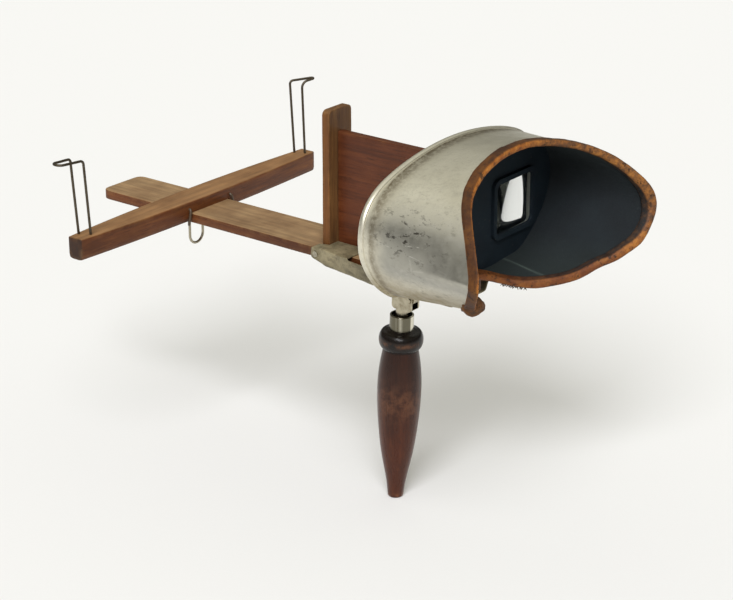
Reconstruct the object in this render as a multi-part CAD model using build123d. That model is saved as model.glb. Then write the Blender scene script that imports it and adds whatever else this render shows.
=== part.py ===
from build123d import *
import math
import os

# Hand-held stereo viewer with a sheet-aluminium hood, a wooden rail, a sliding card bar and a
# folding handle.  Millimetres.  +Y runs from the eyes towards the card, +X is the user's right and
# +Z is up.  The origin is the centre of the handle's bottom end.

# ---- driving dimensions -------------------------------------------------------------------------

RAIL_TOP = 140.0            # height of the rail's upper face above the handle's end
RAIL_THICK = 5.5
RAIL_WIDTH = 31.3           # about 1 1/4 inch
RAIL_FRONT = 200.0          # card end of the rail
RAIL_BACK = -32.5           # the rail butts against the hood's front edge
RAIL_CORNER = 4.5           # rounding of the rail's far corners, in plan

BAR_LENGTH = 195.0          # the bar holds a 178 mm stereo card
BAR_Y = 140.0               # place of the bar's centre line at rest
BAR_HEIGHT = 12.2
BAR_TOP = RAIL_TOP + 6.7
BAR_END_THICK = 9.7
BAR_MID_BACK = 8.6          # how far the bar bulges towards the eyes at its middle
BAR_MID_FRONT = 8.9
SLIDE_GAP = 0.06            # running clearance over the rail's faces
NOTCH_SIDE_GAP = 1.0

CLIP_WIRE = 1.4             # wire diameters
KEEPER_WIRE = 1.5

POST_BACK = 37.6            # eye side of the septum's end post
POST_THICK = 4.7
POST_WIDTH = 19.3
POST_TOP = 214.5
SEPTUM_THICK = 4.5
SEPTUM_TOP = 202.3

HOOD_FRONT = -33.0          # plane of the hood's lens end
HOOD_LOFT_BACK = -111.5     # plane where the hood's straight-sided surface is cut off
HOOD_SHEET = 0.8
LINING = 0.7
BEAD_WIDTH = 3.2
BEAD_PROUD = 1.0
BOARD_THICK = 13.0

LENS_X = 39.0               # half the spacing of the two lenses
LENS_Z = 169.0
LENS_SIZE = (36.0, 31.0)
LENS_OPENING = (33.0, 28.0)
LENS_FACE_RADIUS = 120.0
LENS_THICK = 7.2
EYE_FRAME_THICK = 2.0
EYE_FRAME_BORDER = 2.6

BINDING_OUT = 1.25          # how far the leather stands off the hood's outside
BINDING_IN = 1.25           # and off the lining
BINDING_LAP = 4.8           # how far it covers the sheet
BINDING_OVER = 1.5          # and how far it stands past the sheet's edge

SADDLE_SHEET = 1.0
SADDLE_FRONT = 45.0
SADDLE_BACK = -47.0
SADDLE_BOTTOM = 126.9

HANDLE_LEAN = 2.0           # degrees; the handle's foot leans towards the card
FERRULE_R = 6.5
FERRULE_BORE_R = 5.6
FERRULE_Z = (100.0, 108.3)
CHEEK_OUT = 3.6
CHEEK_THICK = 1.1
CHEEK_Y = (-8.4, 4.4)
CHEEK_Z = (112.0, 125.3)
PIN_LOCAL = (-6.0, 118.8)   # hinge pin in the upright handle's own Y and Z
PIN_R = 1.2
PIN_CLEARANCE = 0.05
LUG_R = 3.1

os.makedirs("parts", exist_ok=True)


# ---- small helpers ------------------------------------------------------------------------------

def save(shape, node):
    solids = list(shape.solids())
    export_step(Compound(children=solids) if len(solids) > 1 else solids[0], f"parts/{node}.step")


def block(x, y, z):
    """A box between two limits on each axis."""
    size = (x[1] - x[0], y[1] - y[0], z[1] - z[0])
    middle = ((x[0] + x[1]) / 2, (y[0] + y[1]) / 2, (z[0] + z[1]) / 2)
    return Pos(*middle) * Box(*size)


def rod(start, end, radius):
    """A straight round bar from start to end."""
    start = Vector(*start)
    run = Vector(*end) - start
    return extrude(Plane(start, z_dir=run) * Circle(radius), run.length)


def wire(points, radii, diameter):
    """Round wire bent along straight runs, with one bend radius for each corner."""
    path = FilletPolyline(*points, radius=radii)
    first = Vector(*points[0])
    section = Plane(first, z_dir=Vector(*points[1]) - first) * Circle(diameter / 2)
    return sweep(section, path=path)


def rounded_plate(width, height, corner, y, thick):
    """A plate with rounded corners that stands in the XZ plane and grows from y towards -Y."""
    plane = Plane((0, y, 0), x_dir=(1, 0, 0), z_dir=(0, -1, 0))
    return extrude(plane * RectangleRounded(width, height, corner), thick)


# ---- hood surfaces ------------------------------------------------------------------------------

# Half outlines of the hood's outside as (x, z), from the middle of the floor round to the middle of
# the roof.  LENS_END is the lens end.  The other lists are the plane HOOD_LOFT_BACK, which only the
# cheeks come near; the left cheek of the sheet is bent a little higher than the right one.
LENS_END = [
    (0, 140.8), (8, 140.8), (14, 140.7), (21, 140.6), (28, 140.5), (35, 140.4), (42, 140.2), (49, 141.2),
    (54, 144.2), (59.5, 148.5), (64, 153), (68, 158), (71, 163), (73.7, 169), (75, 179), (72, 190.6),
    (64, 198.8), (52, 204.2), (36, 208.3), (18, 211), (0, 211.9),
]
EYE_END_X = [
    0, 8, 16.9, 22, 28, 33.5, 41, 50.3, 57.6, 64.5, 69.3, 73.7, 77.7, 80.5, 79.7, 70.5, 61, 50, 35, 18, 0,
]
EYE_END_TOP = [173.7, 188.6, 198, 204.6, 210.8, 215.4, 216.9]
EYE_END_RIGHT = [134.1, 126.2, 122.2, 123.3, 126.6, 129.7, 133.6, 139.6, 142.5, 146.9, 150.1, 154.5, 160.1, 167]
EYE_END_LEFT = [134.1, 134.4, 135.2, 136.4, 138, 139.8, 142.6, 148, 151.4, 155.6, 158.8, 162.6, 167, 172]


def closed_outline(right, left, grow):
    """The full outline through a right and a left half, moved outwards by grow."""
    whole = right + [(-x, z) for x, z in reversed(left[1:-1])]
    moved = []
    for i, (x, z) in enumerate(whole):
        before = whole[i - 1]
        after = whole[(i + 1) % len(whole)]
        along = Vector(after[0] - before[0], after[1] - before[1]).normalized()
        moved.append((x + along.Y * grow, z - along.X * grow))
    return moved


def hood_section(right, left, y, grow):
    points = [(x, y, z) for x, z in closed_outline(right, left, grow)]
    return make_face(Spline(*points, periodic=True))


def hood_solid(grow, back=HOOD_LOFT_BACK):
    """The space inside the hood's surface, moved outwards by grow, from the lens end to back."""
    right = list(zip(EYE_END_X, EYE_END_RIGHT + EYE_END_TOP))
    left = list(zip(EYE_END_X, EYE_END_LEFT + EYE_END_TOP))
    lens_end = hood_section(LENS_END, LENS_END, HOOD_FRONT, grow)
    eye_end = hood_section(right, left, HOOD_LOFT_BACK, grow)
    whole = loft([lens_end, eye_end], ruled=True)
    if back > HOOD_LOFT_BACK:
        whole = whole & block((-120, 120), (back, HOOD_FRONT + 1), (60, 260))
    return whole


# Plan of the eye-side edge as (x, y): half a curve over the brow, and under the nose a right half
# and a left half, because the left cheek is cut back further.
WIDEST_Z = 167.0
BROW_PLAN = [
    (0, -73.5), (22, -75), (42, -79.3), (59.5, -88), (70.5, -98), (76.5, -104.2), (79.6, -106.9), (85, -107.9),
]
NOSE_RIGHT = [
    (0, -50.9), (12, -57.1), (22, -67.8), (33, -78.6), (50, -91.6), (64, -101.9), (73, -106.2), (79.6, -107.1),
    (85, -107.9),
]
NOSE_LEFT = [
    (0, -50.9), (12, -56.6), (22, -64), (33, -71), (50, -82.4), (64, -94.2), (73, -101.4), (79.6, -106.3),
    (85, -107.9),
]
PLAN_SIDE = 120.0           # the cutting shapes reach this far sideways
PLAN_END = -150.0           # and to here past the eyes


def edge_cut(right, left, shift, z):
    """Everything on the eyes' side of a plan curve that is moved by shift towards the card."""
    right = [(x, y + shift) for x, y in right]
    left = [(-x, y + shift) for x, y in reversed(left[1:])]
    curve = Spline(*(left + right))
    end = right[-1]
    other = left[0]
    border = Polyline(
        end, (PLAN_SIDE, end[1]), (PLAN_SIDE, PLAN_END), (-PLAN_SIDE, PLAN_END), (-PLAN_SIDE, other[1]), other,
    )
    return extrude(Plane((0, 0, z[0])) * make_face([curve, border]), z[1] - z[0])


def eye_side(shift):
    over = edge_cut(BROW_PLAN, BROW_PLAN, shift, (WIDEST_Z, 260))
    under = edge_cut(NOSE_RIGHT, NOSE_LEFT, shift, (60, WIDEST_Z))
    return over + under


outside = hood_solid(0)
under_sheet = hood_solid(-HOOD_SHEET)
under_lining = hood_solid(-HOOD_SHEET - LINING)
past_edge = eye_side(0)

bead = hood_solid(BEAD_PROUD, HOOD_FRONT - BEAD_WIDTH)
hood_shell = (outside - past_edge) + bead - under_sheet
hood_lining = under_sheet - under_lining - past_edge

board_back = HOOD_FRONT - BOARD_THICK
board_blank = under_lining & block((-120, 120), (board_back, HOOD_FRONT), (60, 260))

binding_ring = hood_solid(BINDING_OUT) - hood_solid(-HOOD_SHEET - LINING - BINDING_IN)
binding_ring = (binding_ring & eye_side(BINDING_LAP)) - eye_side(-BINDING_OVER)
covered_sheet = (outside - under_lining) - past_edge
rim_binding = binding_ring - covered_sheet

save(rim_binding, "rim_binding")

# ---- lens board, lenses and their frames --------------------------------------------------------

POCKET_DEPTH = 7.4
POCKET_GAP = 0.4
SPLAY_START = 8.2           # from the eyes' side of the board
SPLAY_SIDE = 7.5            # how much wider each side of an opening is on the card side
SPLAY_UP = 2.0


def at_lens(shape, side):
    return Pos(side * LENS_X, 0, LENS_Z) * shape


def splay():
    """The funnel by which an opening widens towards the card."""
    inner_y = board_back + SPLAY_START
    inner = Plane((0, inner_y, 0), x_dir=(1, 0, 0), z_dir=(0, 1, 0)) * Rectangle(*LENS_OPENING)
    wide = (LENS_OPENING[0] + 2 * SPLAY_SIDE, LENS_OPENING[1] + 2 * SPLAY_UP)
    outer = Plane((0, HOOD_FRONT, 0), x_dir=(1, 0, 0), z_dir=(0, 1, 0)) * Rectangle(*wide)
    return loft([inner, outer], ruled=True)


pocket_size = [length + POCKET_GAP for length in LENS_SIZE]
lens_board = board_blank
for side in (-1, 1):
    opening = rounded_plate(*LENS_OPENING, 3, HOOD_FRONT + 1, BOARD_THICK + 2)
    pocket = rounded_plate(*pocket_size, 3, board_back + POCKET_DEPTH, BOARD_THICK)
    lens_board = lens_board - at_lens(opening, side) - at_lens(pocket, side) - at_lens(splay(), side)


def lens(side):
    """Half of a double convex lens, cut so that its thick edge is on the outside."""
    blank = rounded_plate(*LENS_SIZE, 3, board_back + LENS_THICK, LENS_THICK)
    ball_y = board_back + LENS_THICK - LENS_FACE_RADIUS
    face = Pos(side * LENS_SIZE[0] / 2, ball_y, 0) * Sphere(LENS_FACE_RADIUS)
    return at_lens(blank & face, side)


def eye_frame(side):
    """The flat frame that holds a lens in its pocket, on the eyes' side of the board."""
    outer = [length + 2 * EYE_FRAME_BORDER for length in LENS_OPENING]
    plate = rounded_plate(*outer, 5, board_back, EYE_FRAME_THICK)
    window = rounded_plate(*LENS_OPENING, 3, board_back + 1, EYE_FRAME_THICK + 2)
    return at_lens(plate - window, side)


for name, side in (("left", -1), ("right", 1)):
    save(lens(side), f"{name}_lens")
    save(eye_frame(side), f"{name}_eye_frame")

# ---- rail ---------------------------------------------------------------------------------------

rail = block((-RAIL_WIDTH / 2, RAIL_WIDTH / 2), (RAIL_BACK, RAIL_FRONT), (RAIL_TOP - RAIL_THICK, RAIL_TOP))
rail = fillet(rail.edges().filter_by(Axis.Z).group_by(Axis.Y)[-1], RAIL_CORNER)
rail = fillet(rail.faces().sort_by(Axis.Y)[-1].edges().filter_by(Axis.X), 1.2)

# ---- septum and its end post --------------------------------------------------------------------

post_front = POST_BACK + POST_THICK
post = block((-POST_WIDTH / 2, POST_WIDTH / 2), (POST_BACK, post_front), (RAIL_TOP, POST_TOP))
post = fillet(post.edges().filter_by(Axis.Y).group_by(Axis.Z)[-1], 3.0)
septum = block((-SEPTUM_THICK / 2, SEPTUM_THICK / 2), (HOOD_FRONT, POST_BACK), (RAIL_TOP, SEPTUM_TOP))
septum = septum - bead

save(septum, "septum")

# ---- saddle: the folded sheet that joins the rail, the hood and the handle's hinge ----------------

LIP_BACK = 17.0             # the sheet covers the rail's top between here and SADDLE_FRONT
LEVEL_FROM = 5.0            # the trough's floor is level from here back
SHOULDER_FRONT = 17.2       # half widths at the shoulder and at the floor
SHOULDER_BACK = 23.0
FLOOR_FRONT = 16.8
FLOOR_BACK = 15.5
FLOOR_FRONT_Z = RAIL_TOP - RAIL_THICK - SADDLE_SHEET
KNEE_Y = 36.0               # the floor drops fast as far as here
KNEE_Z = 130.4
SHOULDER_KNEE = 18.6
FLOOR_KNEE = 16.2


def trough_section(y, shoulder, floor, bottom, inset):
    top = RAIL_TOP + SADDLE_SHEET - inset
    shoulder = shoulder - inset
    floor = floor - inset
    bottom = bottom + inset
    corner = 2.4 - inset
    points = [(-shoulder, top), (shoulder, top), (floor, bottom), (-floor, bottom)]
    outline = make_face(Polyline(*[(x, z) for x, z in points], close=True))
    outline = fillet(outline.vertices().group_by(Axis.Y)[0], corner)
    return Plane((0, y, 0), x_dir=(1, 0, 0), z_dir=(0, -1, 0)) * outline


def trough(inset):
    front = trough_section(SADDLE_FRONT, SHOULDER_FRONT, FLOOR_FRONT, FLOOR_FRONT_Z, inset)
    knee = trough_section(KNEE_Y, SHOULDER_KNEE, FLOOR_KNEE, KNEE_Z, inset)
    level = trough_section(LEVEL_FROM, SHOULDER_BACK, FLOOR_BACK, SADDLE_BOTTOM, inset)
    back = trough_section(SADDLE_BACK, SHOULDER_BACK, FLOOR_BACK, SADDLE_BOTTOM, inset)
    return loft([front, knee], ruled=True) + loft([knee, level], ruled=True) + loft([level, back], ruled=True)


open_top = block((-40, 40), (SADDLE_BACK - 1, LIP_BACK), (RAIL_TOP - 0.2, RAIL_TOP + 5))
septum_half = SEPTUM_THICK / 2
septum_slot = block((-septum_half, septum_half), (LIP_BACK - 1, SADDLE_FRONT + 1), (RAIL_TOP - 1, RAIL_TOP + 5))
post_slot_half = POST_WIDTH / 2 + 0.2
post_slot = block((-post_slot_half, post_slot_half), (POST_BACK, SADDLE_FRONT + 1), (RAIL_TOP - 0.2, RAIL_TOP + 5))
floor_slot = block((-11, 11), (SADDLE_FRONT - 9, SADDLE_FRONT + 1), (FLOOR_FRONT_Z - 3, RAIL_TOP - RAIL_THICK))
saddle = trough(0) - trough(SADDLE_SHEET) - open_top - septum_slot - post_slot - floor_slot
saddle = saddle - outside - bead

filler = trough(SADDLE_SHEET) & block((-12, 12), (SADDLE_BACK + 1, LEVEL_FROM - 1), (100, 160))
filler = filler - block((-40, 40), (RAIL_BACK, 60), (RAIL_TOP - RAIL_THICK, 160)) - outside - bead

# ---- handle hinge: bracket under the saddle, pin, and the yoke on the handle -----------------------

lean = math.radians(HANDLE_LEAN)
PIN_Y = PIN_LOCAL[0] * math.cos(lean) - PIN_LOCAL[1] * math.sin(lean)
PIN_Z = PIN_LOCAL[0] * math.sin(lean) + PIN_LOCAL[1] * math.cos(lean)

PLATE_Z = (SADDLE_BOTTOM - 1.2, SADDLE_BOTTOM)
PLATE_Y = (-27.0, 12.0)
PLATE_X = (-9.0, 9.0)
LUG_HALF = CHEEK_OUT - CHEEK_THICK - 0.2
SCREW_R = 1.2
SCREW_HEAD_R = 2.1
SCREW_HEAD = 1.0
SCREW_REACH = 5.5           # how far each screw goes into the wood above the sheet
SCREW_PLACES = [(x, y) for x in (-5.5, 5.5) for y in (-22.0, 8.0)]

base_plate = block(PLATE_X, PLATE_Y, PLATE_Z)
base_plate = fillet(base_plate.edges().filter_by(Axis.Z), 3)
lug = rod((-LUG_HALF, PIN_Y, PIN_Z), (LUG_HALF, PIN_Y, PIN_Z), LUG_R)
lug = lug + block((-LUG_HALF, LUG_HALF), (PIN_Y - LUG_R, PIN_Y + LUG_R), (PIN_Z, PLATE_Z[0]))
pin_axis = ((-CHEEK_OUT - 2, PIN_Y, PIN_Z), (CHEEK_OUT + 2, PIN_Y, PIN_Z))
bracket = base_plate + lug - rod(*pin_axis, PIN_R)

bracket_screws = []
for x, y in SCREW_PLACES:
    shank = rod((x, y, PLATE_Z[0]), (x, y, SADDLE_BOTTOM + SCREW_REACH), SCREW_R)
    head = rod((x, y, PLATE_Z[0] - SCREW_HEAD), (x, y, PLATE_Z[0]), SCREW_HEAD_R)
    head = fillet(head.edges().group_by(Axis.Z)[0], 0.6)
    bracket_screws.append(shank + head)
screw_holes = Compound(
    children=[rod((x, y, 100), (x, y, SADDLE_BOTTOM + SCREW_REACH), SCREW_R) for x, y in SCREW_PLACES]
)
bracket = bracket - screw_holes
saddle = saddle - screw_holes
filler = filler - screw_holes

HEAD_GAP = 0.1
pin_half = CHEEK_OUT + HEAD_GAP
hinge_pin = rod((-pin_half, PIN_Y, PIN_Z), (pin_half, PIN_Y, PIN_Z), PIN_R)
for side in (-1, 1):
    inner = (side * pin_half, PIN_Y, PIN_Z)
    outer = (side * (pin_half + 0.9), PIN_Y, PIN_Z)
    hinge_pin = hinge_pin + rod(inner, outer, 2.0)

save(bracket, "hinge_bracket")
save(Compound(children=bracket_screws), "bracket_screws")
save(hinge_pin, "hinge_pin")

# ---- handle, made upright on the origin and then leaned about it -----------------------------------

cheek_in = CHEEK_OUT - CHEEK_THICK
yoke = block((-CHEEK_OUT, CHEEK_OUT), CHEEK_Y, CHEEK_Z)
rear_edges = yoke.edges().filter_by(Axis.X).group_by(Axis.Y)[0]
yoke = fillet(rear_edges.sort_by(Axis.Z)[-1], 4.5)
yoke = fillet(yoke.edges().filter_by(Axis.X).group_by(Axis.Z)[0], 2.0)
channel_y = (CHEEK_Y[0] - 1, CHEEK_Y[1] - CHEEK_THICK)
yoke = yoke - block((-cheek_in, cheek_in), channel_y, (CHEEK_Z[0] + CHEEK_THICK, CHEEK_Z[1] + 1))
neck = rod((0, 0, FERRULE_Z[0] - 18), (0, 0, CHEEK_Z[0] + 0.5), 2.6)
shoulder = rod((0, 0, FERRULE_Z[1] - 2.3), (0, 0, CHEEK_Z[0] + 0.5), 3.4)
yoke = yoke + neck + shoulder
yoke = yoke - rod((-9, *PIN_LOCAL), (9, *PIN_LOCAL), PIN_R + PIN_CLEARANCE)

ferrule = rod((0, 0, FERRULE_Z[0]), (0, 0, FERRULE_Z[1]), FERRULE_R)
ferrule = ferrule - rod((0, 0, FERRULE_Z[0] - 1), (0, 0, FERRULE_Z[1] + 1), FERRULE_BORE_R)
ferrule = fillet(ferrule.edges().group_by(Axis.Z)[-1].sort_by(SortBy.RADIUS)[-1], 0.4)

# Half profile of the turned handle, as (radius, height).
GRIP_END_R = 4.3
GRIP_SPIGOT_Z = 105.0
COLLAR_R = 12.0
COLLAR_Z = (89.3, 98.8)
body_curve = Spline(
    (GRIP_END_R, 0.8), (4.85, 6), (8.2, 24), (10.6, 41.5), (11.9, 61), (11.2, 78), (9.4, COLLAR_Z[0]),
)
collar_mid = (COLLAR_Z[0] + COLLAR_Z[1]) / 2
collar_curve = ThreePointArc((9.4, COLLAR_Z[0]), (COLLAR_R, collar_mid), (9.0, COLLAR_Z[1]))
rest_of_profile = Polyline(
    (9.0, COLLAR_Z[1]), (6.9, FERRULE_Z[0]), (FERRULE_BORE_R, FERRULE_Z[0]),
    (FERRULE_BORE_R, GRIP_SPIGOT_Z), (0, GRIP_SPIGOT_Z), (0, 0), (GRIP_END_R - 0.8, 0), (GRIP_END_R, 0.8),
)
grip = revolve(Plane.XZ * make_face([body_curve, collar_curve, rest_of_profile]), Axis.Z)
grip = grip - neck


def leaned(shape):
    return Rot(HANDLE_LEAN, 0, 0) * shape


save(leaned(yoke), "handle_yoke")
save(leaned(ferrule), "handle_ferrule")
save(leaned(grip), "handle_grip")

# ---- wood screws and nails of the frame -------------------------------------------------------------

# Two screws come up through the rail into the post, and two go from the saddle's block through the
# hood's floor into the lens board.
POST_SCREWS_X = (-5.0, 5.0)
BOARD_SCREWS_X = (-7.5, 7.5)
post_mid_y = POST_BACK + POST_THICK / 2
board_mid_y = HOOD_FRONT - BOARD_THICK / 2
rail_under = RAIL_TOP - RAIL_THICK


def countersunk(x, y, bottom, top, head_r, r):
    """A countersunk wood screw that points up."""
    head = Pos(x, y, bottom + 0.75) * Cone(head_r, r, 1.5)
    return head + rod((x, y, bottom + 1.5), (x, y, top), r)


post_screws = Compound(
    children=[countersunk(x, post_mid_y, rail_under, RAIL_TOP + 14, 2.0, 1.0) for x in POST_SCREWS_X]
)
board_screws = Compound(
    children=[countersunk(x, board_mid_y, SADDLE_BOTTOM, RAIL_TOP + 10, 2.4, 1.3) for x in BOARD_SCREWS_X]
)

NAIL_Y = 41.0
NAIL_Z = RAIL_TOP - 3.0
nail_list = []
for side in (-1, 1):
    shank = rod((side * 10, NAIL_Y, NAIL_Z), (side * 17.3, NAIL_Y, NAIL_Z), 0.7)
    head = rod((side * 17.3, NAIL_Y, NAIL_Z), (side * 18.0, NAIL_Y, NAIL_Z), 1.6)
    nail_list.append(shank + head)
saddle_nails = Compound(children=nail_list)

rail = rail - post_screws - saddle_nails
post = post - post_screws
saddle = saddle - saddle_nails - board_screws
filler = filler - board_screws
lens_board = lens_board - board_screws
hood_shell = hood_shell - board_screws
hood_lining = hood_lining - board_screws

save(rail, "rail")
save(post, "septum_post")
save(saddle, "saddle_plate")
save(filler, "saddle_block")
save(lens_board, "lens_board")
save(hood_shell, "hood_shell")
save(hood_lining, "hood_lining")
save(post_screws, "post_screws")
save(board_screws, "board_screws")
save(saddle_nails, "saddle_nails")

# ---- card bar ---------------------------------------------------------------------------------------

half_length = BAR_LENGTH / 2
half_end = BAR_END_THICK / 2
back_curve = ThreePointArc((-half_length, -half_end), (0, -BAR_MID_BACK), (half_length, -half_end))
front_curve = ThreePointArc((half_length, half_end), (0, BAR_MID_FRONT), (-half_length, half_end))
right_end = Line((half_length, -half_end), (half_length, half_end))
left_end = Line((-half_length, half_end), (-half_length, -half_end))
bar_plan = make_face([back_curve, right_end, front_curve, left_end])
bar = extrude(Plane((0, BAR_Y, BAR_TOP - BAR_HEIGHT)) * bar_plan, BAR_HEIGHT)
bar = fillet(bar.faces().sort_by(Axis.Z)[0].edges(), 2.2)
bar = fillet(bar.edges().filter_by(Axis.Z), 0.8)
notch_half = RAIL_WIDTH / 2 + NOTCH_SIDE_GAP
bar = bar - block((-notch_half, notch_half), (BAR_Y - 20, BAR_Y + 20), (100, RAIL_TOP + SLIDE_GAP))

# ---- card clips: each one a wire with two legs and a flat loop at the top ----------------------------

CLIP_DEPTH = 6.0            # how far each leg goes into the bar


def card_clip(far_foot, near_foot, far_top, near_top, tip, tip_half, near_bend):
    """Two legs stand on each side of the card; their tops bend over into a flat loop that points
    outwards.  All points are measured from the bar's centre line."""
    far_run = Vector(*far_top) - Vector(*far_foot)
    near_run = Vector(*near_top) - Vector(*near_foot)
    far_start = Vector(*far_foot) - far_run.normalized() * CLIP_DEPTH
    near_start = Vector(*near_foot) - near_run.normalized() * CLIP_DEPTH
    tip_far = (tip[0], tip[1] + tip_half, tip[2])
    tip_near = (tip[0], tip[1] - tip_half, tip[2])
    turn = tip_half - 0.05
    points = [tuple(far_start), far_top, tip_far, tip_near, near_top, tuple(near_start)]
    points = [(x, y + BAR_Y, z) for x, y, z in points]
    return wire(points, [2.0, turn, turn, near_bend], CLIP_WIRE)


CLIP_TOP = RAIL_TOP + 50.0  # height of the bend in each leg
left_clip = card_clip(
    (-91.2, 3.3, BAR_TOP), (-88, -2.5, BAR_TOP), (-94.4, 3.6, CLIP_TOP - 0.8), (-91.0, -2.5, CLIP_TOP - 1.4),
    (-108.2, 0.3, CLIP_TOP + 0.1), 2.9, 2.4,
)
right_clip = card_clip(
    (88.6, 3.3, BAR_TOP), (91.3, -2.5, BAR_TOP), (85.4, 3.4, CLIP_TOP + 1.2), (89.4, -2.4, CLIP_TOP + 0.4),
    (97.6, -4.2, CLIP_TOP + 1.6), 1.1, 4.0,
)

# ---- keeper: spring wire from the bar's back face, round the rail's sides, with a finger loop below --

KEEPER_X = 19.0
KEEPER_Y = BAR_Y - 9.8
KEEPER_Z = rail_under - KEEPER_WIRE / 2 - 0.12
LOOP_Y = BAR_Y + 2.3
LOOP_X = 5.4
LOOP_BOTTOM = 116.0


def keeper_half(side):
    return [
        (side * 16.6, BAR_Y - 4.0, RAIL_TOP + 2.6),
        (side * 17.0, KEEPER_Y, RAIL_TOP + 2.6),
        (side * KEEPER_X, KEEPER_Y, KEEPER_Z),
        (side * LOOP_X, LOOP_Y, KEEPER_Z),
        (side * LOOP_X, LOOP_Y, LOOP_BOTTOM),
    ]


keeper_points = keeper_half(-1) + list(reversed(keeper_half(1)))
loop_turn = LOOP_X - 0.05
keeper = wire(keeper_points, [1.4, 2.0, 1.6, loop_turn, loop_turn, 1.6, 2.0, 1.4], KEEPER_WIRE)

bar = bar - left_clip - right_clip - keeper

save(bar, "card_bar")
save(left_clip, "left_card_clip")
save(right_clip, "right_card_clip")
save(keeper, "keeper_wire")

print("hinge pin at y %.4f z %.4f" % (PIN_Y, PIN_Z))
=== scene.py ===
import math

import bmesh
import bpy
import numpy as np
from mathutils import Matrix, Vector, noise


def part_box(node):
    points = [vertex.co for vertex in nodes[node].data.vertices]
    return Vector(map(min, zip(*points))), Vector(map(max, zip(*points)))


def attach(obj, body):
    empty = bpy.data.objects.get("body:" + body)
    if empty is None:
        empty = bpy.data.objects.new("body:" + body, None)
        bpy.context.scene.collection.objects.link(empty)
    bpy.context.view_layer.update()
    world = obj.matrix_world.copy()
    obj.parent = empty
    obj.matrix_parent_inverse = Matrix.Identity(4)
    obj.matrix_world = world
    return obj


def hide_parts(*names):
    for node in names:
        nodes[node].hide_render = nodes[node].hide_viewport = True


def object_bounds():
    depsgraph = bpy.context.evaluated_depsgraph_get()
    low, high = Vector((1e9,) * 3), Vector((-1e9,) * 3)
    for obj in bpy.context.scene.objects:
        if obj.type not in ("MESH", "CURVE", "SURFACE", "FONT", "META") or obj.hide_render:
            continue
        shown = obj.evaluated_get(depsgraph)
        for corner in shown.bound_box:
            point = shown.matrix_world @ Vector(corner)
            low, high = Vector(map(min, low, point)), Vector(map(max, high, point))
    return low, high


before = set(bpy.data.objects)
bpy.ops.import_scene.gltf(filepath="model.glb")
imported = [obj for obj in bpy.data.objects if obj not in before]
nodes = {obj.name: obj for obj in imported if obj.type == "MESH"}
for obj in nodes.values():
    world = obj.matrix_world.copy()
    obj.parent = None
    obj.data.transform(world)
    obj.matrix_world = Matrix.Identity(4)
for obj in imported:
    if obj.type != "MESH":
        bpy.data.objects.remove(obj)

# Looks of a hand-held stereo viewer.  Lengths in the tables below are millimetres in the CAD frame:
# +Y runs from the eyes towards the card, +X is the user's right, +Z is up.

MM = 0.001
cad_low, cad_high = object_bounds()


def node_limits(name):
    """Lowest and highest corner of a CAD node, in millimetres."""
    low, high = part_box(name)
    return np.array(low) / MM, np.array(high) / MM


def ramp(value, start, end):
    """0 at start, 1 at end, even in between and constant beyond."""
    return np.clip((value - start) / (end - start), 0, 1)


def bump_at(value, centre, width):
    return np.exp(-((value - centre) / width) ** 2)


# ---- meshes ----------------------------------------------

def make_piece(name, points_mm, faces, sharp_angle=None, attributes=None):
    """A new smooth-shaded mesh object from points in millimetres.  Edges beyond sharp_angle degrees
    stay sharp, and attributes holds a value per point for the materials."""
    mesh = bpy.data.meshes.new(name)
    mesh.from_pydata((np.asarray(points_mm, float) * MM).tolist(), [], faces)
    mesh.update()
    tidy = bmesh.new()
    tidy.from_mesh(mesh)
    bmesh.ops.recalc_face_normals(tidy, faces=tidy.faces)
    tidy.to_mesh(mesh)
    tidy.free()
    mesh.shade_smooth()
    if sharp_angle is not None:
        mesh.set_sharp_from_angle(angle=math.radians(sharp_angle))
    for key, values in (attributes or {}).items():
        layer = mesh.attributes.new(key, "FLOAT", "POINT")
        layer.data.foreach_set("value", np.asarray(values, np.float32))
    piece = bpy.data.objects.new(name, mesh)
    bpy.context.scene.collection.objects.link(piece)
    return piece


def finish_piece(piece, material, body, replaced=()):
    """Gives a piece its material and body, and hides the CAD nodes that it stands for."""
    piece.data.materials.clear()
    piece.data.materials.append(material)
    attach(piece, body)
    if replaced:
        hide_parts(*replaced)
    return piece


def ring_faces(count_u, count_v, start=0):
    """Quads of a surface that closes on itself both ways."""
    faces = []
    for u in range(count_u):
        for v in range(count_v):
            right = (u + 1) % count_u
            up = (v + 1) % count_v
            faces.append((
                start + u * count_v + v,
                start + right * count_v + v,
                start + right * count_v + up,
                start + u * count_v + up,
            ))
    return faces


def axis_lines(low, high, radius, step, extra=()):
    """Grid lines from low to high, closer together over the rounded edges."""
    inner = max(1, int(round((high - low - 2 * radius) / step)))
    edge = [0.0, 0.25 * radius, 0.6 * radius]
    lines = [low + e for e in edge] + list(np.linspace(low + radius, high - radius, inner + 1))
    lines += [high - e for e in reversed(edge)]
    lines += list(extra)
    return sorted(set(round(x, 4) for x in lines))


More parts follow.
